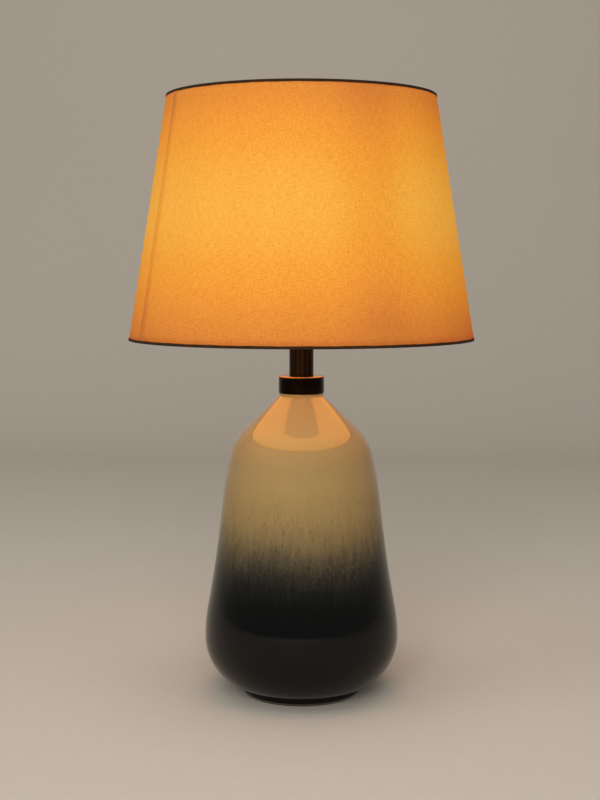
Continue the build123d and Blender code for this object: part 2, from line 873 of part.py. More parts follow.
# ---- One STEP file for each piece ----
upright = {
    "foot_pad": foot_pad(),
    "base_body": base_body(),
    "cord_bushing": cord_bushing(),
    "lamp_pipe": lamp_pipe(),
    "check_washer": check_washer(),
    "lock_washer": lock_washer(),
    "bottom_nut": bottom_nut(),
    "neck_collar": neck_collar(),
    "tube_register": tube_register(),
    "neck_tube": neck_tube(),
    "tube_cap": tube_cap(),
    "shade_spider": shade_spider(),
    "shade_bottom_ring": wire_ring(bottom_ring_level),
    "shade_liner": shade_liner(),
    "shade_fabric": shade_fabric(),
    "shade_top_trim": shade_top_trim(),
    "shade_bottom_trim": shade_trim(shade_bottom, 1),
    "finial": finial(),
}
with_harp = {
    "harp_saddle": harp_saddle(),
    "saddle_nut": saddle_nut(),
    "harp_wire": harp_wire(),
    "harp_sleeve_left": harp_sleeve(-1),
    "harp_sleeve_right": harp_sleeve(1),
    "harp_stud": harp_stud(),
    "socket_cap": socket_cap(),
    "cap_set_screw": cap_set_screw(),
    "socket_shell": socket_shell(),
    "shell_liner": shell_liner(),
    "socket_core": socket_core(),
    "terminal_screws": terminal_screws(),
    "socket_screw_shell": socket_screw_shell(),
    "socket_contact": socket_contact(),
    "switch_spindle": switch_spindle(),
    "switch_knob": switch_knob(),
    "bulb_glass": bulb_glass(),
    "bulb_cap": bulb_cap(),
    "bulb_insulator": bulb_insulator(),
    "bulb_contact": bulb_contact(),
    "bulb_stem": bulb_stem(),
    "bulb_filament": bulb_filament(),
}
pieces = upright | {name: Rot(0, 0, harp_turn) * piece for name, piece in with_harp.items()}

os.makedirs("parts", exist_ok=True)
for name, piece in pieces.items():
    export_step(piece, f"parts/{name}.step")
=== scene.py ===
from math import cos, hypot, pi, radians, sin, tau

import bmesh
import bpy
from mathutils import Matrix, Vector


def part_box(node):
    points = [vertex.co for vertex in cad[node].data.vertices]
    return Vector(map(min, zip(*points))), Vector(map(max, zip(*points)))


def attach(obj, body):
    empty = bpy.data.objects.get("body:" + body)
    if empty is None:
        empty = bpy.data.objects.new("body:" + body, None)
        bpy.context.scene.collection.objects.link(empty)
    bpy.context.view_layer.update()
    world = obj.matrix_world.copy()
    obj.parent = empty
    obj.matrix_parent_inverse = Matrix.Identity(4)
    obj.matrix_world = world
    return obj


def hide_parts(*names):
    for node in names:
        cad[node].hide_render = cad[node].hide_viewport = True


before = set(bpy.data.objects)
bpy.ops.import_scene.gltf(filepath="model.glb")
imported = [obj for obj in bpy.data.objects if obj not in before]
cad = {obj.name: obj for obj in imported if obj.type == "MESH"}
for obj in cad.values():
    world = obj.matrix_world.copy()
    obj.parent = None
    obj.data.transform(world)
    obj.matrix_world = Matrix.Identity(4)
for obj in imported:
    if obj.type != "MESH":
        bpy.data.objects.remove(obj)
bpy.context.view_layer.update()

MM = 0.001

# ---- Where the lamp stands ----
# A pale paper sweep that rises behind the lamp, large soft boxes in front, above and at the
# left, and a level camera in front. The boxes light the glaze and metal without showing in them.
sweep_half_width = 3.0
sweep_front = -2.6
sweep_bend = 0.8
sweep_wall = 2.5  # behind the lamp
sweep_height = 3.2
sweep_bend_steps = 16
paper_tone = (208, 199, 185)
room_tone = (1.0, 0.985, 0.96, 1.0)
room_light = 0.20
lamp_middle = (0, 0, 0.32)  # that the boxes are aimed at
soft_boxes = {  # place, width, height and watts
    "box_front": ((-0.3, -2.6, 1.2), 1.8, 1.8, 46),
    "box_above": ((0.0, -0.4, 2.6), 2.4, 2.4, 24),
    "box_left": ((-2.0, -0.8, 1.4), 1.4, 1.8, 6),
}
camera_place = (-1.45 * MM, -1.441, 0.437)
camera_lens = 62.73
camera_sensor = 36.0
camera_shift = -0.168


def tone(red, green, blue):
    """Linear colour of a tone given as it looks, from 0 to 255."""

    def linear(value):
        value /= 255
        return value / 12.92 if value <= 0.04045 else ((value + 0.055) / 1.055) ** 2.4

    return (linear(red), linear(green), linear(blue), 1.0)


def add_node(tree, kind, inputs, out=0, **settings):
    """Adds a node, sets or links its inputs, and returns one of its outputs."""
    made = tree.nodes.new(kind)
    for key, value in settings.items():
        setattr(made, key, value)
    for key, value in inputs.items():
        if isinstance(value, bpy.types.NodeSocket):
            tree.links.new(value, made.inputs[key])
        else:
            made.inputs[key].default_value = value
    return made.outputs[out]


def noise(tree, point, stretch, detail=3.0, roughness=0.5, seed=0.0):
    """Noise with its own number of lumps a metre along each axis."""
    inputs = {"Vector": point, "Scale": stretch, "Location": (seed, seed, seed)}
    mapped = add_node(tree, "ShaderNodeMapping", inputs)
    inputs = {"Vector": mapped, "Scale": 1.0, "Detail": detail, "Roughness": roughness}
    return add_node(tree, "ShaderNodeTexNoise", inputs)


def blend(tree, share, first, second, mode="MIX"):
    inputs = {"Fac": share, "Color1": first, "Color2": second}
    return add_node(tree, "ShaderNodeMixRGB", inputs, blend_type=mode)


def relief(tree, height, depth, under=None):
    """Bump of a depth in metres, over another one if given."""
    inputs = {"Height": height, "Distance": depth, "Strength": 1.0}
    if under is not None:
        inputs["Normal"] = under
    return add_node(tree, "ShaderNodeBump", inputs)


def finish(name, **constants):
    """Material with its node tree, its surface shader's inputs and the object coordinates."""
    material = bpy.data.materials.new(name)
    material.use_nodes = True
    tree = material.node_tree
    surface = tree.nodes["Principled BSDF"].inputs
    for key, value in constants.items():
        surface[key.replace("_", " ").title().replace("Ior", "IOR")].default_value = value
    point = add_node(tree, "ShaderNodeTexCoord", {}, out="Object")
    return material, tree, surface, point


def paint(surface, tree, **links):
    """Links sockets to the surface shader's inputs."""
    for key, socket in links.items():
        tree.links.new(socket, surface[key.replace("_", " ").title()])


def add_object(name, mesh, *materials):
    made = bpy.data.objects.new(name, mesh)
    bpy.context.scene.collection.objects.link(made)
    for material in materials:
        mesh.materials.append(material)
    return made


def paper_sweep():
    """Sheet that lies flat in front and bends up to a wall behind."""
    start = sweep_wall - sweep_bend
    side = [(sweep_front, 0.0)]
    for step in range(sweep_bend_steps + 1):
        turn = pi / 2 * step / sweep_bend_steps
        side.append((start + sweep_bend * sin(turn), sweep_bend * (1 - cos(turn))))
    side.append((sweep_wall, sweep_height))
    points = [(x, y, z) for y, z in side for x in (-sweep_half_width, sweep_half_width)]
    faces = [(2 * i, 2 * i + 1, 2 * i + 3, 2 * i + 2) for i in range(len(side) - 1)]
    mesh = bpy.data.meshes.new("paper_sweep")
    mesh.from_pydata(points, [], faces)
    mesh.shade_smooth()
    return mesh


def paper_finish():
    """Matt paper with faint fibres."""
    material, tree, surface, point = finish("paper", Roughness=0.85, Specular_IOR_Level=0.2)
    fibres = noise(tree, point, (60, 60, 60), detail=4)
    pale, paler = tone(*paper_tone), tone(*(value + 4 for value in paper_tone))
    paint(surface, tree, Base_Color=blend(tree, fibres, pale, paler))
    paint(surface, tree, Normal=relief(tree, fibres, 0.1 * MM))
    return material


def soft_box(name, place, width, height, watts):
    """Area light aimed at the middle of the lamp."""
    light = bpy.data.lights.new(name, "AREA")
    light.shape = "RECTANGLE"
    light.size = width
    light.size_y = height
    light.energy = watts
    made = bpy.data.objects.new(name, light)
    made.location = place
    aim = Vector(lamp_middle) - made.location
    made.rotation_euler = aim.to_track_quat("-Z", "Y").to_euler()
    made.visible_glossy = False
    bpy.context.scene.collection.objects.link(made)


add_object("paper_sweep", paper_sweep(), paper_finish())
for name, settings in soft_boxes.items():
    soft_box(name, *settings)

world = bpy.data.worlds.new("room")
world.use_nodes = True
backdrop = world.node_tree.nodes["Background"].inputs
backdrop["Color"].default_value = room_tone
backdrop["Strength"].default_value = room_light
bpy.context.scene.world = world

camera_data = bpy.data.cameras.new("camera")
camera_data.sensor_fit = "VERTICAL"
camera_data.sensor_height = camera_sensor
camera_data.lens = camera_lens
camera_data.shift_y = camera_shift
camera = bpy.data.objects.new("camera", camera_data)
camera.location = camera_place
camera.rotation_euler = (pi / 2, 0, 0)
bpy.context.scene.collection.objects.link(camera)
bpy.context.scene.camera = camera
bpy.context.scene.view_settings.view_transform = "Standard"


def shades(tree, value, *stops):
    """Colour that follows a value through (position, colour) stops."""
    output = add_node(tree, "ShaderNodeValToRGB", {"Fac": value})
    elements = output.node.color_ramp.elements
    while len(elements) < len(stops):
        elements.new(1.0)
    for element, (position, colour) in zip(elements, stops):
        element.position = position
        element.color = colour
    return output


def dress(node, material):
    """Gives a CAD node its finish."""
    cad[node].data.materials.clear()
    cad[node].data.materials.append(material)


def felt_finish():
    """Grey-brown wool with fine fibres and soft clumps."""
    material, tree, surface, point = finish(
        "felt", Roughness=0.95, Sheen_Weight=0.4, Sheen_Roughness=0.5
    )
    fibres = noise(tree, point, (900, 900, 900), detail=4, roughness=0.7)
    clumps = noise(tree, point, (120, 120, 120))
    colour = shades(tree, fibres, (0.25, tone(44, 38, 32)), (0.75, tone(92, 82, 70)))
    clumped = shades(tree, clumps, (0.3, tone(52, 46, 40)), (0.7, tone(84, 76, 66)))
    colour = blend(tree, 0.4, colour, clumped)
    paint(surface, tree, Base_Color=colour, Normal=relief(tree, fibres, 0.4 * MM))
    return material


dress("foot_pad", felt_finish())

# ---- Ceramic body ----
# Slip-cast stoneware under two gloss glazes: black olive over the lower half, cream from the
# neck down. They melt into each other over a hand's width, with short runs and dashes in the
# cream, and a clear glaze lies over the shoulder. The foot ring is wiped bare underneath.
glaze_black_below = 0.076
glaze_cream_above = 0.218
bare_height = 0.0026  # up to which the clay is wiped
clear_glaze_low = 0.16
clear_glaze_full = 0.235
run_reach = 0.020  # how far the runs move the meeting of the glazes up and down
wander_reach = 0.014  # how far the slow waves move it
dash_reach = 0.024  # how far the dashes move it
specks_begin = (0.108, 0.148)  # heights over which the specks come in
specks_end = (0.165, 0.235)  # heights over which they thin out
specks_left = 0.16  # share of them above that
dark_specks_show = 0.40
light_specks_show = 0.10
glaze_stops = (
    (0.0, (4, 4, 4)),
    (0.20, (9, 9, 8)),
    (0.32, (24, 24, 20)),
    (0.42, (48, 45, 36)),
    (0.53, (86, 76, 56)),
    (0.64, (124, 106, 72)),
    (0.80, (155, 130, 82)),
    (1.0, (167, 140, 86)),
)


def maths(tree, operation, first, second=0.0, third=0.0):
    return add_node(tree, "ShaderNodeMath", {0: first, 1: second, 2: third}, operation=operation)


def between(tree, value, low, high, out_low=0.0, out_high=1.0):
    """Smooth step of a value between two limits."""
    inputs = {"Value": value, "From Min": low, "From Max": high}
    inputs |= {"To Min": out_low, "To Max": out_high}
    return add_node(tree, "ShaderNodeMapRange", inputs, interpolation_type="SMOOTHSTEP")


def glaze_finish():
    """Two glazes that meet at a height, which fine runs and slow waves move up and down."""
    material, tree, surface, point = finish(
        "glaze", IOR=1.34, Coat_IOR=1.75, Coat_Roughness=0.05
    )
    height = add_node(tree, "ShaderNodeSeparateXYZ", {0: point}, out="Z")
    runs = maths(tree, "SUBTRACT", noise(tree, point, (230, 230, 30), detail=4), 0.5)
    wander = maths(tree, "SUBTRACT", noise(tree, point, (9, 9, 5), detail=2, seed=3), 0.5)
    dashes = noise(tree, point, (900, 900, 230), detail=3, roughness=0.65, seed=7)
    dashes = maths(tree, "SUBTRACT", dashes, 0.5)
    flecks = maths(tree, "SUBTRACT", noise(tree, point, (620, 620, 150), detail=2, seed=21), 0.5)
    level = maths(tree, "MULTIPLY_ADD", runs, run_reach, height)
    level = maths(tree, "MULTIPLY_ADD", wander, wander_reach, level)
    level = maths(tree, "MULTIPLY_ADD", dashes, dash_reach, level)
    inputs = {"Value": level, "From Min": glaze_black_below, "From Max": glaze_cream_above}
    share = add_node(tree, "ShaderNodeMapRange", inputs)
    stops = [(position, tone(*colour)) for position, colour in glaze_stops]
    colour = shades(tree, share, *stops)
    meeting = between(tree, height, *specks_begin)
    thinning = between(tree, height, *specks_end, 1.0, specks_left)
    meeting = maths(tree, "MULTIPLY", meeting, thinning)
    specks = between(tree, flecks, 0.10, 0.20)
    specks = maths(tree, "MULTIPLY", specks, maths(tree, "MULTIPLY", meeting, dark_specks_show))
    colour = blend(tree, specks, colour, tone(46, 42, 32))
    light_specks = between(tree, flecks, -0.20, -0.12, 1.0, 0.0)
    showing = maths(tree, "MULTIPLY", meeting, light_specks_show)
    light_specks = maths(tree, "MULTIPLY", light_specks, showing)
    colour = blend(tree, light_specks, colour, tone(180, 156, 108))
    clouds = noise(tree, point, (26, 26, 13), detail=3, seed=5)
    clouds = shades(tree, clouds, (0.3, (0.90, 0.89, 0.86, 1)), (0.7, (1, 1, 1, 1)))
    colour = blend(tree, 0.6, colour, clouds, "MULTIPLY")
    grain = noise(tree, point, (1500, 1500, 700), detail=2, seed=11)
    clay = shades(tree, grain, (0.3, tone(58, 44, 32)), (0.7, tone(82, 64, 48)))
    glazed = between(tree, height, bare_height - 0.3 * MM, bare_height + 0.3 * MM)
    colour = blend(tree, glazed, clay, colour)
    ripple = noise(tree, point, (70, 70, 45), detail=2, seed=13)
    gloss = maths(tree, "MULTIPLY_ADD", glazed, -0.66, 0.75)
    gloss = maths(tree, "MULTIPLY_ADD", dashes, 0.08, gloss)
    bumps = relief(tree, ripple, 0.08 * MM)
    bumps = relief(tree, maths(tree, "MULTIPLY", dashes, meeting), 0.04 * MM, bumps)
    clear = between(tree, height, clear_glaze_low, clear_glaze_full)
    paint(surface, tree, Base_Color=colour, Roughness=gloss, Normal=bumps)
    paint(surface, tree, Coat_Weight=clear, Coat_Normal=bumps)
    return material


dress("base_body", glaze_finish())

# ---- Cord inlet ----
# Black nylon bushing, moulded with a flange outside and a snap ring inside. It snaps into the
# hole low on the back and lines the ceramic's edge.


def moulded_finish(name, colour, roughness):
    """Moulded plastic with a fine spark-eroded grain."""
    material, tree, surface, point = finish(name, IOR=1.5)
    grain = noise(tree, point, (2600, 2600, 2600), detail=2)
    flow = noise(tree, point, (90, 90, 90), detail=3)
    red, green, blue = colour
    darker = tone(red * 0.8, green * 0.8, blue * 0.8)
    paint(surface, tree, Base_Color=shades(tree, flow, (0.3, darker), (0.7, tone(*colour))))
    paint(surface, tree, Roughness=maths(tree, "MULTIPLY_ADD", flow, 0.12, roughness - 0.06))
    paint(surface, tree, Normal=relief(tree, grain, 0.03 * MM))
    return material


dress("cord_bushing", moulded_finish("black_nylon", (38, 37, 36), roughness=0.5))

# ---- Pipe, washers and nuts ----
# Zinc-plated pipe with washers and brass nuts that clamp the whole stack. The pipe's lower end
# shows its thread under the nut.
pipe_pitch = 0.94 * MM
pipe_thread_depth = 0.45 * MM
pipe_thread_length = 11 * MM
pipe_bore = 3.2 * MM
pipe_thread_step = 0.11 * MM  # fine enough for its thread
pipe_columns = 40
turned_crease = radians(50)  # from which a turned edge shows as sharp


def metal_finish(name, colour, dull, roughness, lines=(60, 60, 60), cut=0.02):
    """Metal with stains and with lines or grain left by how it was worked."""
    material, tree, surface, point = finish(name, Metallic=1.0)
    stains = noise(tree, point, (110, 110, 110), detail=4, roughness=0.6)
    marks = noise(tree, point, lines, detail=3, roughness=0.6, seed=2)
    colour = shades(tree, stains, (0.35, tone(*dull)), (0.62, tone(*colour)))
    shine = shades(tree, marks, (0.3, (0.86, 0.86, 0.86, 1)), (0.7, (1, 1, 1, 1)))
    paint(surface, tree, Base_Color=blend(tree, 1.0, colour, shine, "MULTIPLY"))
    rough = maths(tree, "MULTIPLY_ADD", stains, 0.14, roughness - 0.07)
    rough = maths(tree, "MULTIPLY_ADD", marks, 0.10, maths(tree, "SUBTRACT", rough, 0.05))
    paint(surface, tree, Roughness=rough, Normal=relief(tree, marks, cut * MM))
    return material


def turned_shell(name, outline, columns):
    """Closed outline of (radius, height, step) points turned round the axis. The step is the
    longest that the side after a point is cut into."""
    points = []
    for here, there in zip(outline, outline[1:] + outline[:1]):
        length = hypot(there[0] - here[0], there[1] - here[1])
        cuts = max(1, round(length / here[2]))
        for cut in range(cuts):
            share = cut / cuts
            points.append([here[i] + (there[i] - here[i]) * share for i in (0, 1)])
    shell = bmesh.new()
    rings = []
    for column in range(columns):
        turn = tau * column / columns
        rings.append([shell.verts.new((r * cos(turn), r * sin(turn), z)) for r, z in points])
    for column in range(columns):
        here, there = rings[column], rings[(column + 1) % columns]
        for step in range(len(points)):
            following = (step + 1) % len(points)
            shell.faces.new((here[step], there[step], there[following], here[following])).smooth = True
    bmesh.ops.recalc_face_normals(shell, faces=shell.faces)
    mesh = bpy.data.meshes.new(name)
    shell.to_mesh(mesh)
    shell.free()
    mesh.set_sharp_from_angle(angle=turned_crease)
    return mesh


def thread_nodes():
    """Geometry nodes that sink a rolled thread into a turned shell between two heights."""
    tree = bpy.data.node_groups.new("rolled_thread", "GeometryNodeTree")
    tree.interface.new_socket("Shell", in_out="INPUT", socket_type="NodeSocketGeometry")
    for name in ("Depth", "Pitch", "Low", "High"):
        tree.interface.new_socket(name, in_out="INPUT", socket_type="NodeSocketFloat")
    tree.interface.new_socket("Finish", in_out="INPUT", socket_type="NodeSocketMaterial")
    tree.interface.new_socket("Threaded", in_out="OUTPUT", socket_type="NodeSocketGeometry")
    given = tree.nodes.new("NodeGroupInput").outputs
    position = add_node(tree, "GeometryNodeInputPosition", {})
    place = add_node(tree, "ShaderNodeSeparateXYZ", {0: position})
    x, y, height = place.node.outputs
    rise = maths(tree, "MULTIPLY", maths(tree, "DIVIDE", height, given["Pitch"]), tau)
    wave = maths(tree, "COSINE", maths(tree, "SUBTRACT", rise, maths(tree, "ARCTAN2", y, x)))
    run_in = maths(tree, "ADD", given["Low"], given["Pitch"])
    start = between(tree, height, given["Low"], run_in)
    run_out = maths(tree, "SUBTRACT", given["High"], given["Pitch"])
    end = between(tree, height, run_out, given["High"], 1.0, 0.0)
    sunk = maths(tree, "MULTIPLY_ADD", wave, -0.5, 0.5)
    sunk = maths(tree, "MULTIPLY", sunk, maths(tree, "MULTIPLY", start, end))
    sunk = maths(tree, "MULTIPLY", maths(tree, "MULTIPLY", sunk, given["Depth"]), -1.0)
    outward = add_node(tree, "ShaderNodeCombineXYZ", {"X": x, "Y": y})
    outward = add_node(tree, "ShaderNodeVectorMath", {0: outward}, operation="NORMALIZE")
    offset = add_node(tree, "ShaderNodeVectorMath", {0: outward, "Scale": sunk}, operation="SCALE")
    made = add_node(tree, "GeometryNodeSetPosition", {"Geometry": given["Shell"], "Offset": offset})
    made = add_node(tree, "GeometryNodeRealizeInstances", {"Geometry": made})
    made = add_node(tree, "GeometryNodeSetMaterial", {"Geometry": made, "Material": given["Finish"]})
    tree.links.new(made, tree.nodes.new("NodeGroupOutput").inputs["Threaded"])
    return tree


def shape_by(tree, piece, **values):
    """Runs a node tree on a piece with these inputs, and keeps the mesh that it makes."""
    modifier = piece.modifiers.new("shape", "NODES")
    modifier.node_group = tree
    for socket in tree.interface.items_tree:
        if socket.in_out == "INPUT" and socket.name in values:
            modifier[socket.identifier] = values[socket.name]
    evaluated = piece.evaluated_get(bpy.context.evaluated_depsgraph_get())
    shaped = bpy.data.meshes.new_from_object(evaluated)
    piece.modifiers.remove(modifier)
    piece.data = shaped


def stand_for(piece, node, body):
    """Hides a CAD node and puts the piece that stands in its place on the node's body."""
    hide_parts(node)
    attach(piece, body)


zinc = metal_finish(
    "zinc_steel", (188, 188, 184), dull=(158, 160, 158), roughness=0.34, lines=(900, 900, 900)
)
brass = metal_finish(
    "brass", (214, 176, 104), dull=(180, 138, 76), roughness=0.28, lines=(700, 700, 240)
)
pipe_low, pipe_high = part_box("lamp_pipe")
pipe_end = pipe_low.z + pipe_thread_length
pipe_outline = [
    (pipe_bore, pipe_low.z, MM),
    (pipe_high.x - pipe_thread_depth, pipe_low.z, MM),
    (pipe_high.x, pipe_low.z + pipe_thread_depth, pipe_thread_step),
    (pipe_high.x, pipe_end, 1.0),
    (pipe_high.x, pipe_high.z, MM),
    (pipe_bore, pipe_high.z, 1.0),
]
thread = thread_nodes()
pipe = add_object("threaded_pipe", turned_shell("threaded_pipe", pipe_outline, pipe_columns))
shape_by(
    thread,
    pipe,
    Depth=pipe_thread_depth,
    Pitch=pipe_pitch,
    Low=pipe_low.z,
    High=pipe_end,
    Finish=zinc,
)
stand_for(pipe, "lamp_pipe", "base")
for name in ("check_washer", "lock_washer", "tube_register", "cap_set_screw", "switch_spindle"):
    dress(name, zinc)
for name in ("bottom_nut", "saddle_nut", "harp_saddle", "harp_wire", "harp_stud", "terminal_screws"):
    dress(name, brass)
for name in ("harp_sleeve_left", "harp_sleeve_right", "socket_contact"):
    dress(name, brass)

# ---- Neck ----
# A spun collar of blackened, polished bronze. Its side is darker than the bronze itself, as a
# painted dark reflection, and a band of bright bronze over its top and rounded edge is a painted
# reflection of the lit shade. The tube is brushed along its length.
collar_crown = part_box("neck_collar")[1].z
reflection_band_from = 1.5 * MM  # below the crown, where the painted reflection begins
reflection_band_to = 0.4 * MM  # below the crown, where the painted reflection is full


def collar_finish():
    """Blackened bronze, darkened as a painted reflection, with a band of bright bronze over the top
    and its rounded edge as a painted reflection of the lit shade.
    """
    material, tree, surface, point = finish("dark_bronze", Metallic=1.0)
    turning = noise(tree, point, (30, 30, 2600), detail=3, roughness=0.6)
    patina = noise(tree, point, (60, 60, 60), detail=4, seed=4)
    height = add_node(tree, "ShaderNodeSeparateXYZ", {0: point}, out="Z")
    dark = shades(tree, patina, (0.3, tone(26, 17, 9)), (0.7, tone(44, 29, 16)))
    bright = shades(tree, patina, (0.3, tone(196, 138, 74)), (0.7, tone(228, 172, 102)))
    # The lower edge of the painted reflection band, wavering with the patina.
    worn = maths(tree, "MULTIPLY_ADD", patina, 0.8 * MM, height)
    painted_reflection_band = between(tree, worn, collar_crown - reflection_band_from, collar_crown - reflection_band_to)
    rough = maths(tree, "MULTIPLY_ADD", turning, 0.12, 0.10)
    paint(surface, tree, Base_Color=blend(tree, painted_reflection_band, dark, bright), Roughness=rough)
    paint(surface, tree, Normal=relief(tree, turning, 0.012 * MM))
    return material


def tube_finish():
    """Brown bronze with brushed streaks from end to end, and a few long scratches."""
    material, tree, surface, point = finish("brushed_bronze", Metallic=1.0, Anisotropic=0.6)
    streaks = noise(tree, point, (1500, 1500, 8), detail=4, roughness=0.7)
    bands = noise(tree, point, (420, 420, 5), detail=3, roughness=0.6, seed=6)
    browns = ((0.30, tone(46, 29, 16)), (0.52, tone(64, 42, 25)), (0.74, tone(98, 68, 44)))
    colour = shades(tree, streaks, *browns)
    shade = shades(tree, bands, (0.34, (0.55, 0.50, 0.46, 1)), (0.66, (1, 1, 1, 1)))
    scratches = between(tree, streaks, 0.66, 0.74)
    rough = maths(tree, "MULTIPLY_ADD", bands, 0.22, 0.16)
    paint(surface, tree, Base_Color=blend(tree, 1.0, colour, shade, "MULTIPLY"), Roughness=rough)
    bumps = relief(tree, streaks, 0.03 * MM)
    paint(surface, tree, Normal=relief(tree, scratches, 0.02 * MM, bumps))
    return material


dress("neck_collar", collar_finish())
dress("neck_tube", tube_finish())
dress("tube_cap", cad["neck_tube"].data.materials[0])

# ---- Socket ----
# Brass-plated cap and shell round a fibre liner, a moulded core with its contacts, and a switch
# that a fluted knob turns.


def board_finish():
    """Brown fibre board with its fibres lying round it."""
    material, tree, surface, point = finish("fibre_board", Roughness=0.9)
    fibres = noise(tree, point, (500, 500, 90), detail=4, roughness=0.7)
    colour = shades(tree, fibres, (0.3, tone(112, 88, 62)), (0.7, tone(164, 138, 104)))
    paint(surface, tree, Base_Color=colour, Normal=relief(tree, fibres, 0.06 * MM))
    return material


socket_brass = metal_finish(
    "socket_brass",
    (222, 184, 112),
    dull=(196, 154, 86),
    roughness=0.24,
    lines=(120, 120, 1400),
    cut=0.01,
)
dress("socket_cap", socket_brass)
dress("socket_shell", socket_brass)
dress("shell_liner", board_finish())
dress("socket_core", moulded_finish("phenolic", (46, 38, 34), roughness=0.42))
dress("switch_knob", moulded_finish("knob_plastic", (34, 26, 22), roughness=0.3))
aluminium = metal_finish(
    "aluminium",
    (212, 212, 210),
    dull=(186, 186, 184),
    roughness=0.3,
    lines=(90, 90, 1200),
    cut=0.01,
)

lamp_pitch = 3.63 * MM
shell_sheet = 0.4 * MM
shell_lip = 0.8 * MM
shell_thread_depth = 0.5 * MM
sheet_step = 0.3 * MM  # fine enough for the rolled thread
screw_columns = 72
shell_low, shell_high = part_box("socket_screw_shell")
shell_bore = shell_high.x - shell_lip - shell_sheet
shell_outline = [
    (shell_bore, shell_low.z, sheet_step),
    (shell_bore, shell_high.z - shell_lip, sheet_step),
    (shell_bore + shell_lip, shell_high.z, sheet_step),
    (shell_high.x, shell_high.z, sheet_step),
    (shell_bore + shell_sheet, shell_high.z - shell_lip, sheet_step),
    (shell_bore + shell_sheet, shell_low.z, sheet_step),
]
screw_shell = turned_shell("rolled_screw_shell", shell_outline, screw_columns)
screw_shell = add_object("rolled_screw_shell", screw_shell)
shape_by(
    thread,
    screw_shell,
    Depth=-shell_thread_depth,
    Pitch=lamp_pitch,
    Low=shell_low.z + MM,
    High=shell_high.z - 2 * shell_lip,
    Finish=aluminium,
)
stand_for(screw_shell, "socket_screw_shell", "base")

# ---- Bulb ----
# Frosted globe, blown and lit, with a filament on a clear glass stem. Its rolled cap is closed
# by a black glass insulator with a drop of solder in its middle.
bulb_light = 2.8
bulb_neck_share = 0.4  # of its height, over which the light grows to full
bulb_neck_light = 0.35  # of full, at its bottom
cap_low, cap_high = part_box("bulb_cap")
cap_thread_depth = 0.6 * MM
cap_skirt = 3.0 * MM
cap_root = cap_high.x - cap_thread_depth
cap_screw_top = cap_high.z - cap_skirt
cap_side = [
    (cap_root, cap_low.z),
    (cap_high.x, cap_low.z + cap_thread_depth),
    (cap_high.x, cap_screw_top - cap_thread_depth),
    (cap_root, cap_screw_top),
    (cap_root, cap_high.z),
]
cap_outline = [(radius, height, sheet_step) for radius, height in cap_side]
cap_outline += [(radius - shell_sheet, height, sheet_step) for radius, height in reversed(cap_side)]
cap = turned_shell("rolled_bulb_cap", cap_outline, screw_columns)
cap = add_object("rolled_bulb_cap", cap)
shape_by(
    thread,
    cap,
    Depth=cap_thread_depth,
    Pitch=lamp_pitch,
    Low=cap_low.z + cap_thread_depth,
    High=cap_screw_top - cap_thread_depth,
    Finish=aluminium,
)
stand_for(cap, "bulb_cap", "bulb")


def lit_glass_finish():
    """Frosted glass that glows, dimmer and redder in the neck."""
    material, tree, surface, point = finish("frosted_glass", Roughness=0.45, IOR=1.5)
    frost = noise(tree, point, (1500, 1500, 1500), detail=2)
    height = add_node(tree, "ShaderNodeSeparateXYZ", {0: point}, out="Z")
    low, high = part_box("bulb_glass")
    neck_top = low.z + bulb_neck_share * (high.z - low.z)
    lit = between(tree, height, low.z, neck_top, bulb_neck_light, 1.0)
    glow = shades(tree, lit, (bulb_neck_light, tone(255, 196, 120)), (1.0, tone(255, 232, 190)))
    colour = shades(tree, frost, (0.3, tone(226, 218, 204)), (0.7, tone(240, 234, 224)))
    paint(surface, tree, Base_Color=colour, Normal=relief(tree, frost, 0.02 * MM))
    paint(surface, tree, Emission_Color=glow)
    paint(surface, tree, Emission_Strength=maths(tree, "MULTIPLY", lit, bulb_light))
    return material


def glass_finish(name, colour, clear):
    """Glass with slow waves. Clear is 1 for see-through and 0 for opaque."""
    material, tree, surface, point = finish(name, IOR=1.5, Transmission_Weight=clear)
    waves = noise(tree, point, (200, 200, 200), detail=2)
    red, green, blue = colour
    darker = tone(red * 0.9, green * 0.9, blue * 0.9)
    paint(surface, tree, Base_Color=shades(tree, waves, (0.3, darker), (0.7, tone(*colour))))
    paint(surface, tree, Roughness=maths(tree, "MULTIPLY", waves, 0.16))
    paint(surface, tree, Normal=relief(tree, waves, 0.02 * MM))
    return material


dress("bulb_glass", lit_glass_finish())
dress("bulb_insulator", glass_finish("black_glass", (22, 22, 26), clear=0.0))
dress("bulb_stem", glass_finish("clear_glass", (232, 236, 232), clear=1.0))
solder = metal_finish(
    "solder", (176, 176, 174), dull=(140, 140, 140), roughness=0.36, lines=(400, 400, 400)
)
tungsten = metal_finish(
    "tungsten", (150, 148, 144), dull=(120, 118, 116), roughness=0.4, lines=(900, 900, 900)
)
dress("bulb_contact", solder)
dress("bulb_filament", tungsten)

# ---- Shade frame and film ----
# White enamelled wire: a top ring with three arms, and a bottom ring. A stiff styrene film is
# rolled round them, and it spreads the bulb's light.
glow_lift = 8 * MM  # of the brightest height over the bulb's middle
glow_level = sum(corner.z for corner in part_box("bulb_glass")) / 2 + glow_lift
glow_reach = 0.168  # height over which the bulb's light fades on the shade
film_light = 0.98  # of the film where the bulb's light doesn't reach
film_glow = 0.30  # that the bulb's light adds to it


def bell(tree, away):
    """1 where a value is 0, falling to nothing on both sides of it."""
    squared = maths(tree, "MULTIPLY", away, away)
    return maths(tree, "EXPONENT", maths(tree, "MULTIPLY", squared, -1.0))


def glow_share(tree, height):
    """How strongly the bulb lights the shade at a height, from 0 to 1."""
    away = maths(tree, "DIVIDE", maths(tree, "SUBTRACT", height, glow_level), glow_reach)
    return bell(tree, away)


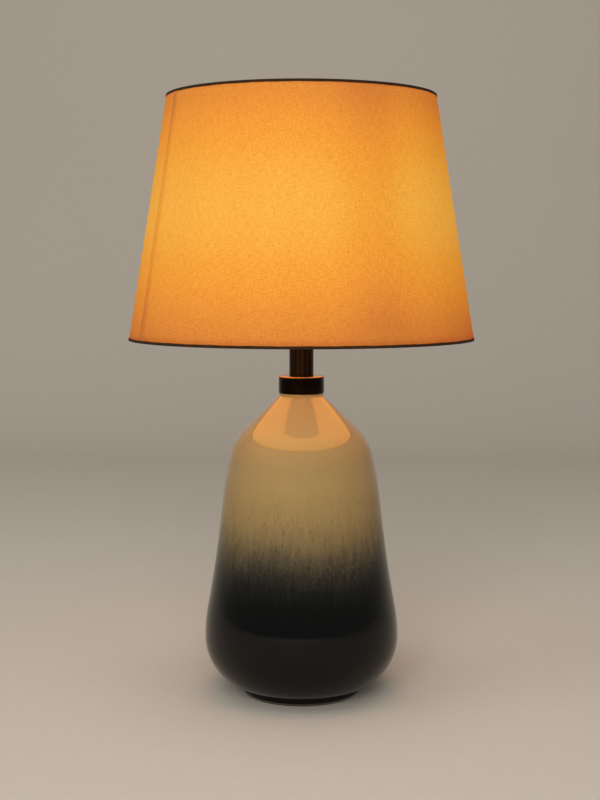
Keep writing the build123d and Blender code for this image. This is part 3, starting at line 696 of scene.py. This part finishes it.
def enamel_finish():
    """White enamel that has flowed a little thick and thin on the wire."""
    material, tree, surface, point = finish("white_enamel", IOR=1.5)
    flow = noise(tree, point, (240, 240, 240), detail=3)
    colour = shades(tree, flow, (0.3, tone(206, 196, 176)), (0.7, tone(222, 212, 194)))
    paint(surface, tree, Base_Color=colour, Normal=relief(tree, flow, 0.05 * MM))
    paint(surface, tree, Roughness=maths(tree, "MULTIPLY_ADD", flow, 0.2, 0.22))
    return material


def film_finish():
    """Cloudy film, lit by the bulb."""
    material, tree, surface, point = finish("styrene_film", Roughness=0.4, IOR=1.55)
    height = add_node(tree, "ShaderNodeSeparateXYZ", {0: point}, out="Z")
    lit = glow_share(tree, height)
    mottle = noise(tree, point, (140, 140, 140), detail=3)
    glow = shades(tree, lit, (0.3, tone(255, 168, 82)), (1.0, tone(255, 180, 112)))
    colour = shades(tree, mottle, (0.3, tone(176, 150, 112)), (0.7, tone(190, 164, 126)))
    paint(surface, tree, Base_Color=colour, Normal=relief(tree, mottle, 0.05 * MM))
    strength = maths(tree, "MULTIPLY_ADD", lit, film_glow, film_light)
    paint(surface, tree, Emission_Color=glow, Emission_Strength=strength)
    return material


enamel = enamel_finish()
dress("shade_spider", enamel)
dress("shade_bottom_ring", enamel)
dress("shade_liner", film_finish())

# ---- Shade cover ----
# One piece of natural linen, laminated to the film and lapped on the left. Threads swell here
# and there into slubs.
wall_low, wall_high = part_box("shade_fabric")
wall_height = wall_high.z - wall_low.z
wall_corners = [vertex.co for vertex in cad["shade_fabric"].data.vertices]
wall_top_radius = max(hypot(co.x, co.y) for co in wall_corners if co.z > wall_high.z - MM)
cloth_thickness = 0.66 * MM
seam_direction = radians(-64)  # from the front, to the left
lap_width = 10 * MM
lap_rise = 0.35 * MM
lap_fold = 0.6 * MM  # over which its folded edge drops
lap_blur = 2.0 * MM  # over which the film spreads its shadow
lap_glue = 3.0 * MM  # over which its glued edge fades out
slack_wave = 0.09 * MM  # how far the cloth stands off the film in slow waves
slack_ripple = 0.05 * MM  # and in shorter ones
harp_normal = Vector((0.9063, 0.4226, 0.0))  # across the harp's plane
harp_shadow = 0.030  # half the width of its soft shadow
harp_takes = 0.10  # of the bulb's light
lap_takes = 0.13  # of the bulb's light
# The cloth's tone is the linen's own, deepened to amber as painted light of the bulb through it.
linen_and_glow_tone = (0.45, 0.206, 0.036, 1)
dark_threads = (0.84, 0.68, 0.50, 1)
pale_threads = (1.16, 1.28, 1.48, 1)
cloth_glow = (
    (0.30, (0.10, 0.004, 0.0, 1)),
    (0.55, (0.25, 0.022, 0.0, 1)),
    (0.79, (0.44, 0.124, 0.001, 1)),
    (0.90, (0.48, 0.172, 0.004, 1)),
    (1.0, (0.51, 0.240, 0.020, 1)),
)
cloth_columns = 480
cloth_rows = 28
cloth_mean_radius = (wall_high.x + wall_top_radius) / 2


def cloth_rise(run):
    """How far the cover stands out at a run round it from the lap's folded edge, in metres."""
    if run <= lap_fold:
        return lap_rise * run / lap_fold
    if run <= lap_width - lap_glue:
        return lap_rise
    return lap_rise * max(0.0, (lap_width - run) / lap_glue)


def cloth_slack(turn, share):
    """How far the cloth stands off the film at a turn and a share of its height, in metres."""
    wave = slack_wave * sin(7 * turn + 2.1) * sin(pi * share)
    return wave + slack_ripple * sin(19 * turn) * sin(3 * pi * share)


def linen_cover_mesh():
    """Closed shell of the cover, with a map in metres of the run round it and the height."""
    around = tau * cloth_mean_radius
    runs = [0.0, lap_fold, lap_width - lap_glue, lap_width]
    plain = round((around - lap_width) / (around / cloth_columns))
    runs += [lap_width + (around - lap_width) * (i + 1) / plain for i in range(plain)]
    shell = bmesh.new()
    woven = shell.loops.layers.uv.new("weave")
    grid = {}
    for side in (0, 1):
        for column, run in enumerate(runs[:-1]):
            turn = seam_direction + run / cloth_mean_radius
            for row in range(cloth_rows + 1):
                share = row / cloth_rows
                radius = wall_high.x + (wall_top_radius - wall_high.x) * share
                if side == 0:
                    radius += cloth_rise(run) + cloth_slack(turn, share)
                else:
                    radius -= cloth_thickness
                place = (radius * sin(turn), -radius * cos(turn), wall_low.z + wall_height * share)
                grid[side, column, row] = shell.verts.new(place)
    last = len(runs) - 1

    def face(corners):
        made = shell.faces.new([grid[side, column % last, row] for side, column, row in corners])
        made.smooth = True
        for loop, (side, column, row) in zip(made.loops, corners):
            loop[woven].uv = (runs[column], wall_height * row / cloth_rows)

    outside = ((0, 0), (1, 0), (1, 1), (0, 1))  # a square's corners, in the order that faces out
    inside = ((0, 0), (0, 1), (1, 1), (1, 0))
    for column in range(last):
        for row in range(cloth_rows):
            for side, square in enumerate((outside, inside)):
                face([(side, column + across, row + up) for across, up in square])
        for row in (0, cloth_rows):
            edge = [(0, column, row), (1, column, row), (1, column + 1, row), (0, column + 1, row)]
            face(edge if row == 0 else edge[::-1])
    bmesh.ops.recalc_face_normals(shell, faces=shell.faces)
    mesh = bpy.data.meshes.new("linen_cover")
    shell.to_mesh(mesh)
    shell.free()
    return mesh


def linen_finish():
    """Plain weave on the cover's own map. The bulb's light through it is painted, as its glow and
    its amber tone, with painted shade at the lap and a painted shadow of the harp.
    """
    material, tree, surface, point = finish("linen", Roughness=0.9, Emission_Strength=1.0)
    height = add_node(tree, "ShaderNodeSeparateXYZ", {0: point}, out="Z")
    woven = add_node(tree, "ShaderNodeUVMap", {}, uv_map="weave")
    run = add_node(tree, "ShaderNodeSeparateXYZ", {0: woven})
    weft = noise(tree, woven, (150, 1300, 1), detail=2, roughness=0.6)
    warp = noise(tree, woven, (1300, 110, 1), detail=2, roughness=0.6, seed=5)
    cloudy = noise(tree, woven, (640, 520, 1), detail=3, roughness=0.75, seed=8)
    folds = noise(tree, woven, (16, 2, 1), detail=2, seed=19)
    weft_slubs = noise(tree, woven, (75, 1500, 1), detail=1, seed=9)
    warp_slubs = noise(tree, woven, (1500, 75, 1), detail=1, seed=15)
    threads = maths(tree, "ADD", weft, warp)
    thick = [between(tree, slubs, 0.64, 0.76) for slubs in (weft_slubs, warp_slubs)]
    thick = maths(tree, "ADD", *thick)
    weave = maths(tree, "MULTIPLY_ADD", threads, 0.52, 0.48)
    weave = maths(tree, "MULTIPLY_ADD", maths(tree, "SUBTRACT", cloudy, 0.5), 0.62, weave)
    weave = maths(tree, "MULTIPLY_ADD", maths(tree, "SUBTRACT", folds, 0.5), 0.14, weave)
    weave = maths(tree, "MULTIPLY_ADD", thick, -0.14, weave)
    weave = between(tree, weave, 0.6, 1.4)
    weave = blend(tree, weave, dark_threads, pale_threads)
    lit = glow_share(tree, height)
    inputs = {0: point, 1: harp_normal}
    across = add_node(tree, "ShaderNodeVectorMath", inputs, out="Value", operation="DOT_PRODUCT")
    shadow = bell(tree, maths(tree, "DIVIDE", across, harp_shadow))
    lit = maths(tree, "MULTIPLY_ADD", shadow, -harp_takes, lit)
    begins = between(tree, run, 0.0, lap_blur)
    ends = between(tree, run, lap_width - lap_glue, lap_width + lap_blur, 1.0, 0.0)
    lit = maths(tree, "MULTIPLY_ADD", maths(tree, "MULTIPLY", begins, ends), -lap_takes, lit)
    glow = blend(tree, 1.0, shades(tree, lit, *cloth_glow), weave, "MULTIPLY")
    colour = blend(tree, 1.0, linen_and_glow_tone, weave, "MULTIPLY")
    bumps = maths(tree, "MULTIPLY_ADD", thick, 0.3, threads)
    paint(surface, tree, Base_Color=colour, Normal=relief(tree, bumps, 0.25 * MM))
    paint(surface, tree, Emission_Color=glow)
    return material


linen_cover = add_object("linen_cover", linen_cover_mesh(), linen_finish())
stand_for(linen_cover, "shade_fabric", "shade")

# ---- Tape on the shade's edges ----
# Cotton tape, folded over the edge and its wire ring and glued down on both sides. Its dark brown
# is painted shade, as no light of the bulb comes through the edge. It is woven in fine ribs across
# its width, and its edges run a little unevenly.
wall_taper = (wall_high.x - wall_top_radius) / wall_height
tape_show = 2.7 * MM  # how far it comes down the outside
tape_columns = 720
tape_edge_step = 0.15 * MM  # how far it stands out from the cover at the shade's edge
tape_map_step = 0.6 * MM  # across it, from one point of its outline to the next
tape_crease = radians(60)  # from which a fold shows as sharp
outer_fold = (  # millimetres out from the cover, and share of the tape's show
    (0.42, 0.05),
    (0.55, 0.20),
    (0.52, 0.55),
    (0.30, 1.0),
    (-0.04, 1.0),
    (-0.04, 0.25),
)
inner_fold = (  # millimetres out from the CAD trim's inside, and share of the tape's show
    (0.62, 0.25),
    (0.50, 1.0),
    (0.12, 1.0),
    (0.12, 0.20),
    (0.50, 0.0),
)


def cover_radius(height):
    return wall_high.x - (height - wall_low.z) * wall_taper


def tape_end(turn, side):
    """How far the tape reaches from the edge at a turn. Its cut runs a little unevenly."""
    slow = 0.09 * MM * sin(23 * turn + side)
    return tape_show + slow + 0.06 * MM * sin(61 * turn) + 0.03 * MM * sin(137 * turn)


def tape_mesh(node, edge, side):
    """Tape over a CAD trim's edge, with a map in metres along it and across it. The side is 1
    where it goes up from the edge and -1 where it goes down."""
    inner_radius = min(hypot(vertex.co.x, vertex.co.y) for vertex in cad[node].data.vertices)
    tape = bmesh.new()
    woven = tape.loops.layers.uv.new("weave")
    rings = []
    for column in range(tape_columns):
        turn = tau * column / tape_columns
        reach = side * tape_end(turn, side)
        ring = [(cover_radius(edge) + tape_edge_step, edge)]
        for out, share in outer_fold:
            height = edge + reach * share
            ring.append((cover_radius(height) + out * MM, height))
        for out, share in inner_fold:
            ring.append((inner_radius + out * MM, edge + reach * share))
        rings.append([tape.verts.new((r * sin(turn), -r * cos(turn), z)) for r, z in ring])
    count = len(rings[0])
    column_width = tau * cover_radius(edge) / tape_columns
    for column in range(tape_columns):
        here, there = rings[column], rings[(column + 1) % tape_columns]
        for step in range(count):
            following = (step + 1) % count
            made = tape.faces.new((here[step], there[step], there[following], here[following]))
            made.smooth = True
            corners = ((0, 0), (1, 0), (1, 1), (0, 1))
            for loop, (along, over) in zip(made.loops, corners):
                along = (column + along) * column_width
                loop[woven].uv = (along, (step + over) * tape_map_step)
    bmesh.ops.recalc_face_normals(tape, faces=tape.faces)
    mesh = bpy.data.meshes.new(node)
    tape.to_mesh(mesh)
    tape.free()
    mesh.set_sharp_from_angle(angle=tape_crease)
    return mesh


def tape_finish():
    """Ribbed cotton in dark browns of painted shade, worn paler in places."""
    material, tree, surface, point = finish("dark_tape", Roughness=0.92)
    woven = add_node(tree, "ShaderNodeUVMap", {}, uv_map="weave")
    ribs = noise(tree, woven, (1600, 240, 1), detail=3, roughness=0.6)
    wear = noise(tree, woven, (90, 300, 1), detail=3, seed=4)
    # Dark browns as painted shade, since no light of the bulb comes through the edge.
    colour = shades(tree, ribs, (0.3, tone(34, 20, 10)), (0.7, tone(62, 38, 20)))
    colour = blend(tree, between(tree, wear, 0.56, 0.8, 0.0, 0.35), colour, tone(84, 54, 30))
    paint(surface, tree, Base_Color=colour, Normal=relief(tree, ribs, 0.16 * MM))
    return material


tape = tape_finish()
shade_top_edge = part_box("shade_top_trim")[1].z
shade_bottom_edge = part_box("shade_bottom_trim")[0].z
for name, node, edge, side in (
    ("top_tape", "shade_top_trim", shade_top_edge, -1),
    ("bottom_tape", "shade_bottom_trim", shade_bottom_edge, 1),
):
    band = add_object(name, tape_mesh(node, edge, side), tape)
    stand_for(band, node, "shade")

# ---- Finial ----
# Knob turned in the collar's bronze and screwed on the harp's stud, where it holds the shade
# down. It is worn brighter where it is handled.


def finial_finish():
    """Bronze with fine turning lines, brightest where it is handled."""
    material, tree, surface, point = finish("finial_bronze", Metallic=1.0)
    turning = noise(tree, point, (30, 30, 2600), detail=3, roughness=0.6)
    patina = noise(tree, point, (140, 140, 140), detail=4, seed=4)
    bronzes = ((0.3, tone(46, 30, 17)), (0.55, tone(82, 56, 32)), (0.75, tone(128, 92, 54)))
    colour = shades(tree, patina, *bronzes)
    rough = maths(tree, "MULTIPLY_ADD", patina, 0.24, 0.12)
    paint(surface, tree, Base_Color=colour, Roughness=rough)
    paint(surface, tree, Normal=relief(tree, turning, 0.015 * MM))
    return material


dress("finial", finial_finish())
